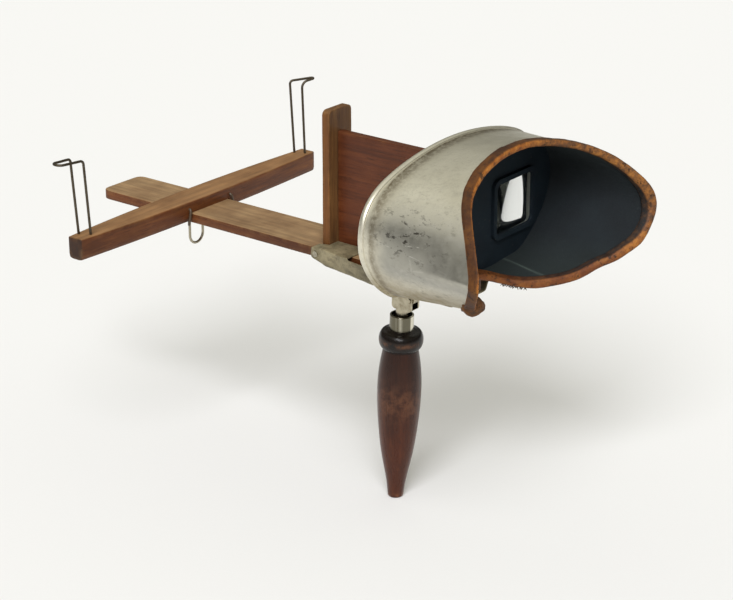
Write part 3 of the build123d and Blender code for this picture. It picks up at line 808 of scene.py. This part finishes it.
def build_fold_end():
    """The lump where the strip's ends are folded over each other, on the left cheek."""
    rings, turns = 24, 36
    points = [(0, 0, 1)]
    for i in range(1, rings):
        tilt = math.pi * i / rings
        wide = math.sin(tilt)
        for k in range(turns):
            turn = 2 * math.pi * k / turns
            points.append((wide * math.cos(turn), wide * math.sin(turn), math.cos(tilt)))
    points.append((0, 0, -1))
    faces = [(0, 1 + k, 1 + (k + 1) % turns) for k in range(turns)]
    for i in range(rings - 2):
        for k in range(turns):
            a, b = 1 + i * turns + k, 1 + i * turns + (k + 1) % turns
            faces.append((a, b, b + turns, a + turns))
    last = len(points) - 1
    faces += [(last, last - turns + (k + 1) % turns, last - turns + k) for k in range(turns)]
    unit = np.array(points)
    lumps = wobble(unit * 5, 4.0, 0.22, 2.7) + wobble(unit * 5, 1.5, 0.07, 6.1)
    shaped = unit * (1 + lumps)[:, None] * FOLD_END_SIZE + FOLD_END_PLACE
    values = {"outer": np.full(len(unit), 0.75), "greasy": np.full(len(unit), 0.6)}
    return make_piece("binding_fold_end", shaped, faces, None, values)


FIBRES = 44
FIBRE_RADIUS = 0.26
FIBRE_POINTS = 4


def build_fray():
    """Loose fibres where the binding has worn through under the nose."""
    curve = bpy.data.curves.new("binding_fray", "CURVE")
    curve.dimensions = "3D"
    curve.bevel_depth = FIBRE_RADIUS * MM
    curve.bevel_resolution = 1
    edge = hood_at(rim_y(BINDING_OUT, -0.6), BINDING_OUT)
    picked = [p for p in edge if 12.5 < p[0] < 22 and p[2] < 150]
    for n in range(FIBRES):
        start = picked[(n * 7) % len(picked)]
        way = [noise.noise(Vector((n * 3.7 + k, 0.3, 1.9))) for k in (0.0, 11.0, 23.0)]
        length = 1.1 + 1.5 * abs(way[0])
        spline = curve.splines.new("POLY")
        spline.points.add(FIBRE_POINTS - 1)
        for k in range(FIBRE_POINTS):
            share = k / (FIBRE_POINTS - 1)
            offset = Vector((way[1] * 2.2 * share, way[2] * 2.2 * share, 0.7 - length * share))
            place = Vector(start) + offset
            spline.points[k].co = (*(place * MM), 1)
            spline.points[k].radius = 1 - 0.6 * share
    piece = bpy.data.objects.new("binding_fray", curve)
    bpy.context.scene.collection.objects.link(piece)
    return piece


SEAM_X = 32.0               # a fold of the lining along each side of its floor


def build_lining():
    outer = -HOOD_SHEET - 0.01
    inner = -HOOD_SHEET - LINING
    profile = [(share, 0.0, outer) for share in np.linspace(0.0, 1.0, 6)]
    profile += [(share, 0.0, inner) for share in np.linspace(1.0, 0.0, 46)]
    points = hood_band(profile)
    rows = len(profile)
    x, y, z = around_values(points, rows)
    inside = np.zeros((AROUND, rows))
    inside[:, 7:-1] = 1.0
    floor = (z < 150) & (np.abs(x) < 45)
    ridge = 0.9 * bump_at(np.abs(x), SEAM_X, 1.3) * floor * ramp(y, -46, -52)
    slack = np.maximum(wobble(points, 14, 0.5, 7.7), 0).reshape(AROUND, rows)
    inwards = np.array([0, 0, HOOD_MIDDLE_Z]) - points
    inwards[:, 1] = 0
    inwards /= np.linalg.norm(inwards, axis=1, keepdims=True)
    points = points + inwards * (((ridge + slack) * inside).ravel())[:, None]
    # painted highlight along the crest of the fold
    painted_fold_highlight = bump_at(np.abs(x), SEAM_X, 0.5) * floor
    values = {"floor": ramp(z, 150, 138).ravel(), "painted_fold_highlight": (painted_fold_highlight * inside).ravel()}
    return make_piece("velvet_lining", points, ring_faces(AROUND, rows), 50, values)


metal_hood = aluminium()
finish_piece(build_hood_shell(), metal_hood, "frame", ["hood_shell"])
tan_leather = leather()
finish_piece(build_binding(), tan_leather, "frame", ["rim_binding"])
finish_piece(build_fold_end(), tan_leather, "frame")
finish_piece(build_fray(), fibre(), "frame")
finish_piece(build_lining(), velvet(), "frame", ["hood_lining"])

# ---- wooden pieces ---------------------------------------

reddish = dict(
    deep=srgb("45220d"), mid=srgb("6e3c1a"), pale=srgb("8a5629"), edge=srgb("a07a4c"), polish=0.5,
)
mahogany_y = wood("rail_mahogany", along=1, faded=srgb("ad8e67"), seed=0.3, **reddish)
mahogany_x = wood("bar_mahogany", along=0, faded=srgb("a37b51"), seed=1.9, **reddish)
post_finish = wood(
    "post_walnut", along=2, deep=srgb("553720"), mid=srgb("79542f"), pale=srgb("967040"),
    edge=srgb("a87842"), polish=0.55, faded=srgb("744519"), seed=4.2,
)
septum_finish = wood(
    "septum_mahogany", along=1, deep=srgb("4f2610"), mid=srgb("613016"), pale=srgb("724020"),
    edge=srgb("8c5c34"), polish=0.45, seed=7.5,
)


RAIL_BARE_FROM = 60.0       # the rail is uneven where nothing is fixed to it
BAR_CLEARANCE = 0.06        # between the rail and the bar that slides on it
BAR_END_HALF = 4.85         # half the bar's width at its ends
NOTCH_GAP = 1.0             # between the bar's notch and each side of the rail
POST_GROOVE = 0.5           # deepest open grain on the post's sides


def wear_of(edge_distance, points, width=1.1):
    """How rubbed each point is, from its distance to the nearest edge."""
    rubbed = np.exp(-(edge_distance / width) ** 2)
    patchy = np.clip(wobble(points, 7, 1.6, 2.2) + 0.75, 0, 1.0)
    return rubbed * patchy


def upper_face(value, face):
    """1 on a flat face, falling to 0 just under it."""
    return ramp(value, face - 0.4, face - 0.1)


def build_rail():
    low, high = node_limits("rail")
    points, faces, edge = rounded_block(low, high, 0.6, 2.2)
    for side in (-1, 1):
        round_corner(points, 0, 1, (side * high[0], high[1]), (-side, -1), 4.5)
    top = upper_face(points[:, 2], high[2])
    bare = points[:, 1] > RAIL_BARE_FROM
    points[:, 2] += np.minimum(wobble(points, 40, 0.12, 6.0), 0.5 * BAR_CLEARANCE) * bare
    values = {"wear": wear_of(edge, points), "faded": top}
    return make_piece("rail_board", points, faces, None, values)


def build_post():
    low, high = node_limits("septum_post")
    points, faces, edge = rounded_block(low, high, 0.45, 1.1)
    for side in (-1, 1):
        round_corner(points, 0, 2, (side * high[0], high[2]), (-side, -1), 3.0)
    side_face = upper_face(np.abs(points[:, 0]), high[0])
    grooves = np.array([noise.noise(Vector((p[1] * 1.9, 0.0, p[2] * 0.03))) for p in points])
    points[:, 0] -= np.sign(points[:, 0]) * side_face * np.clip(grooves, 0, 1) * POST_GROOVE
    values = {"wear": wear_of(edge, points), "faded": side_face}
    return make_piece("post_board", points, faces, None, values)


def build_septum():
    low, high = node_limits("septum")
    points, faces, edge = rounded_block(low, high, 0.5, 2.4)
    return make_piece("septum_board", points, faces, None, {"wear": wear_of(edge, points, 0.8)})


def build_bar():
    low, high = node_limits("card_bar")
    _, rail_high = node_limits("rail")
    notch = rail_high[0] + NOTCH_GAP
    middle_y = (low[1] + high[1]) / 2
    low_end = [low[0], middle_y - BAR_END_HALF, low[2]]
    high_end = [high[0], middle_y + BAR_END_HALF, high[2]]
    extra = [-notch - 0.1, -notch + 0.1, notch - 0.1, notch + 0.1]
    points, faces, edge = rounded_block(low_end, high_end, 0.8, 2.0, extra)
    for side in (-1, 1):
        round_corner(points, 1, 2, (middle_y + side * BAR_END_HALF, low[2]), (-side, 1), 2.2)
    share = 1 - (points[:, 0] / high[0]) ** 2
    across = points[:, 1] - middle_y
    bulge = np.where(across > 0, high[1] - middle_y, middle_y - low[1]) / BAR_END_HALF - 1
    points[:, 1] = middle_y + across * (1 + bulge * share)
    under = (points[:, 2] < rail_high[2]) & (np.abs(points[:, 0]) < notch)
    points[under, 2] = rail_high[2] + BAR_CLEARANCE
    top = upper_face(points[:, 2], high[2])
    end = ramp(np.abs(points[:, 0]), high[0] - 0.9, high[0] - 0.2)
    values = {"wear": wear_of(edge, points), "faded": top, "dirty": 0.85 * end}
    return make_piece("bar_board", points, faces, 60, values)


finish_piece(build_rail(), mahogany_y, "frame", ["rail"])
finish_piece(build_post(), post_finish, "frame", ["septum_post"])
finish_piece(build_septum(), septum_finish, "frame", ["septum"])
finish_piece(build_bar(), mahogany_x, "card_slide", ["card_bar"])

# ---- lenses ----------------------------------------------

LENS_FACE_RADIUS = 170.0
LENS_CORNER = 3.0


def ground_glass():
    f = Finish("lens_ground_edge")
    tooth = f.noise(700, 4, 0.7)
    colour = f.mix(f.span(tooth, 0.3, 0.7), srgb("8f958c"), srgb("b4b9ae"))
    f.shader_set(Base_Color=colour, Roughness=0.85)
    return f.material


def build_lens(name, side, materials):
    """Half of a double convex lens: polished faces and ground edges."""
    low, high = node_limits(name)
    points, faces, _ = rounded_block(low, high, 0.25, 0.9)
    for right in (-1, 1):
        for up in (-1, 1):
            corner = (high[0] if right > 0 else low[0], high[2] if up > 0 else low[2])
            round_corner(points, 0, 2, corner, (-right, -up), LENS_CORNER)
    thick_x = high[0] if side > 0 else low[0]
    middle_z = (low[2] + high[2]) / 2
    away = (points[:, 0] - thick_x) ** 2 + (points[:, 2] - middle_z) ** 2
    cap = high[1] - LENS_FACE_RADIUS + np.sqrt(LENS_FACE_RADIUS ** 2 - away)
    share = (points[:, 1] - low[1]) / (high[1] - low[1])
    points[:, 1] = low[1] + share * (cap - low[1])
    piece = make_piece(name + "_glass", points, faces, 30)
    for material in materials:
        piece.data.materials.append(material)
    for face in piece.data.polygons:
        face.material_index = 1 if abs(face.normal.y) < 0.5 else 0
    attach(piece, "frame")
    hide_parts(name)


lens_materials = (glass(), ground_glass())
build_lens("left_lens", -1, lens_materials)
build_lens("right_lens", 1, lens_materials)

# ---- saddle sheet ----------------------------------------


SADDLE_VOXEL = 0.4


def build_saddle():
    """The folded sheet, with the soft edges and small dents of old aluminium."""
    source = nodes["saddle_plate"].data
    points = np.array([v.co for v in source.vertices]) / MM
    high = points.max(axis=0)
    round_corner(points, 1, 2, (high[1], high[2]), (-1, -1), 3.0)
    mesh = bpy.data.meshes.new("saddle_sheet")
    mesh.from_pydata((points * MM).tolist(), [], [tuple(p.vertices) for p in source.polygons])
    weld = bmesh.new()
    weld.from_mesh(mesh)
    bmesh.ops.remove_doubles(weld, verts=weld.verts, dist=0.002 * MM)
    weld.to_mesh(mesh)
    weld.free()
    rough = bpy.data.objects.new("saddle_rough", mesh)
    bpy.context.scene.collection.objects.link(rough)
    remesh = rough.modifiers.new("remesh", "REMESH")
    remesh.mode = "VOXEL"
    remesh.voxel_size = SADDLE_VOXEL * MM
    smooth = rough.modifiers.new("smooth", "SMOOTH")
    smooth.iterations = 6
    shaped = bpy.data.meshes.new_from_object(rough.evaluated_get(bpy.context.evaluated_depsgraph_get()))
    bpy.data.objects.remove(rough)
    places = np.array([v.co for v in shaped.vertices]) / MM
    normals = np.array([v.normal for v in shaped.vertices])
    lumps = wobble(places, 7, 0.35, 12.5) + wobble(places, 2.5, 0.08, 4.4)
    places = places + normals * np.minimum(lumps, 0.1)[:, None]
    return make_piece("saddle_sheet", places, [tuple(p.vertices) for p in shaped.polygons])


finish_piece(build_saddle(), saddle_metal(), "frame", ["saddle_plate"])

# ---- finishes of the pieces whose CAD shape is shown -----

nickel = bright_metal("worn_nickel", srgb("b9b19b"), 0.24, srgb("6b5b40"), 0.6)
finishes = {
    "lens_board": black_paint(),
    "left_eye_frame": black_paint(),
    "right_eye_frame": black_paint(),
    "hinge_bracket": nickel,
    "hinge_pin": nickel,
    "handle_yoke": nickel,
    "handle_ferrule": ferrule_metal(),
    "saddle_nails": bright_metal("nail_steel", srgb("b3ad9b"), 0.35, srgb("5d5544"), 0.6),
    "bracket_screws": bright_metal("screw_steel", srgb("8a857a"), 0.35, srgb("4a3c2c"), 0.5),
    "left_card_clip": bright_metal("clip_steel", srgb("5d5548"), 0.42, srgb("3a2e20"), 0.7, 500),
    "keeper_wire": keeper_metal(),
    "saddle_block": wood(
        "block_oak", along=1, deep=srgb("4a3526"), mid=srgb("6f5138"), pale=srgb("86664a"),
        edge=srgb("8f7453"), polish=0.6, seed=3.3,
    ),
}
finishes["post_screws"] = finishes["board_screws"] = finishes["bracket_screws"]
finishes["right_card_clip"] = finishes["left_card_clip"]
for name, material in finishes.items():
    mesh = nodes[name].data
    if not mesh.materials:
        mesh.materials.append(material)
    for i in range(len(mesh.materials)):
        mesh.materials[i] = material

# ---- turned handle ---------------------------------------


def handle_finish():
    f = Finish("handle_walnut")
    grain_space = f.stretched((1, 1, 0.045))
    broad = f.noise(70, 3, 0.6, grain_space, 0.5)
    streaks = f.noise(480, 5, 0.7, grain_space, 0.2)
    fine = f.noise(1700, 3, 0.7, grain_space)
    colour = f.mix(f.span(broad, 0.3, 0.7), srgb("321508"), srgb("512510"))
    colour = f.mix(f.span(streaks, 0.5, 0.75, 0, 0.5), colour, srgb("6a371a"))
    darkened = f.math("MULTIPLY", f.attribute("darkened"), f.span(broad, 0.2, 0.7, 0.85, 0.55))
    colour = f.mix(darkened, colour, srgb("20100a"))
    colour = f.mix(f.span(fine, 0.58, 0.72, 0, 0.7), colour, srgb("220f0a"))
    black = f.span(f.noise(300, 4, 0.7), 0.2, 0.5, 0.88, 1.0)
    black = f.math("MULTIPLY", f.attribute("blackened"), black)
    colour = f.mix(black, colour, srgb("17120f"))
    rubbed = f.math("MULTIPLY", f.attribute("wear"), f.span(f.noise(200, 4, 0.7), 0.4, 0.6))
    colour = f.mix(f.math("MULTIPLY", rubbed, 0.6), colour, srgb("8a5a3c"))
    f.shader_set(Base_Color=colour, Roughness=f.span(streaks, 0.3, 0.7, 0.24, 0.36))
    f.shader_set(Specular_IOR_Level=0.25, Coat_Weight=0.09, Coat_Roughness=0.14)
    f.shader_set(Normal=f.bump(f.span(fine, 0.55, 0.75, 1, 0), 0.05, 0.4, f.bump(streaks, 0.05, 0.3)))
    return f.material


HANDLE_LEAN = math.radians(2.0)
HANDLE_BODY = [(4.3, 0.8), (4.85, 6), (8.2, 24), (10.6, 41.5), (11.9, 61), (11.2, 78), (9.4, 89.3)]
COLLAR_PLACE = (8.75, 94.05)    # radius and height of the collar's middle
COLLAR_SIZE = (3.25, 5.25)


def build_handle():
    """The turned grip with its blackened collar, leaning with the yoke."""
    body = smooth_path(HANDLE_BODY, 70)
    collar = []
    for turn in np.linspace(-64, 64, 22):
        angle = math.radians(turn)
        collar.append((
            COLLAR_PLACE[0] + COLLAR_SIZE[0] * math.cos(angle) ** 0.9,
            COLLAR_PLACE[1] + COLLAR_SIZE[1] * math.sin(angle),
        ))
    neck = [(8.9, 98.95), (8.3, 99.2), (7.4, 99.7), (6.9, 99.95), (5.5, 100.0), (0.02, 100.0)]
    foot = [(0.02, 0.0), (2.5, 0.0), (3.5, 0.02), (4.0, 0.25)]
    profile = foot + [tuple(p) for p in body] + collar + neck
    points, faces = lathe(profile, 96)
    height = points[:, 2].copy()
    radius = np.hypot(points[:, 0], points[:, 1])
    black = ramp(height, 88.9, 89.4) * ramp(radius, 6.0, 6.5)
    wear = bump_at(height, 60, 9) * 0.5 + bump_at(height, 1.0, 1.6) + 0.7 * bump_at(height, 94, 1.2)
    turned = np.column_stack([
        points[:, 0],
        points[:, 1] * math.cos(HANDLE_LEAN) - points[:, 2] * math.sin(HANDLE_LEAN),
        points[:, 1] * math.sin(HANDLE_LEAN) + points[:, 2] * math.cos(HANDLE_LEAN),
    ])
    values = {"blackened": black, "wear": wear, "darkened": ramp(height, 34, 68)}
    return make_piece("turned_grip", turned, faces, 50, values)


finish_piece(build_handle(), handle_finish(), "handle", ["handle_grip"])

# ---- floor, light and camera -----------------------------

FLOOR_HALF = 6.0
KEY_FROM = (-1.24, -0.73, 1.40)
SKY_STOPS = ((0.0, 0.03), (0.16, 0.05), (0.40, 0.26), (0.72, 0.60), (1.0, 0.66))
SKY_TINT = (1.0, 0.985, 0.86)
CAMERA_PLACE = Vector((-0.8664, -0.6546, 0.5453))
CAMERA_TARGET = Vector((0.1539, 0.1400, 0.0330))

ground = float(cad_low.z)
floor_mesh = bpy.data.meshes.new("floor")
corners = [(x * FLOOR_HALF, y * FLOOR_HALF, ground) for x, y in ((-1, -1), (1, -1), (1, 1), (-1, 1))]
floor_mesh.from_pydata(corners, [], [(0, 1, 2, 3)])
floor_mesh.materials.append(floor_paper())
floor = bpy.data.objects.new("floor", floor_mesh)
bpy.context.scene.collection.objects.link(floor)

key_data = bpy.data.lights.new("key", "SUN")
key_data.energy = 3.1
key_data.color = (0.985, 0.985, 1.02)
key_data.angle = math.radians(34)
key_light = bpy.data.objects.new("key", key_data)
key_light.rotation_euler = Vector(KEY_FROM).to_track_quat("Z", "Y").to_euler()
bpy.context.scene.collection.objects.link(key_light)

world = bpy.data.worlds.new("studio")
world.use_nodes = True
world_tree = world.node_tree
sky_place = world_tree.nodes.new("ShaderNodeTexCoord").outputs["Generated"]
sky_axes = world_tree.nodes.new("ShaderNodeSeparateXYZ")
world_tree.links.new(sky_place, sky_axes.inputs[0])
sky_level = world_tree.nodes.new("ShaderNodeValToRGB")
world_tree.links.new(sky_axes.outputs["Z"], sky_level.inputs["Fac"])
stops = sky_level.color_ramp.elements
for place, level in SKY_STOPS[1:-1]:
    stops.new(place)
for stop, (place, level) in zip(stops, SKY_STOPS):
    stop.position = place
    stop.color = (*[level * tint for tint in SKY_TINT], 1)
world_tree.links.new(sky_level.outputs["Color"], world_tree.nodes["Background"].inputs["Color"])
world_tree.nodes["Background"].inputs["Strength"].default_value = 1.0
bpy.context.scene.world = world
bpy.context.scene.view_settings.view_transform = "Standard"

camera_data = bpy.data.cameras.new("camera")
camera_data.lens = 108.05
camera_data.sensor_width = 36.0
camera = bpy.data.objects.new("camera", camera_data)
camera.location = CAMERA_PLACE
camera.rotation_euler = (CAMERA_TARGET - CAMERA_PLACE).to_track_quat("-Z", "Y").to_euler()
bpy.context.scene.collection.objects.link(camera)
bpy.context.scene.camera = camera
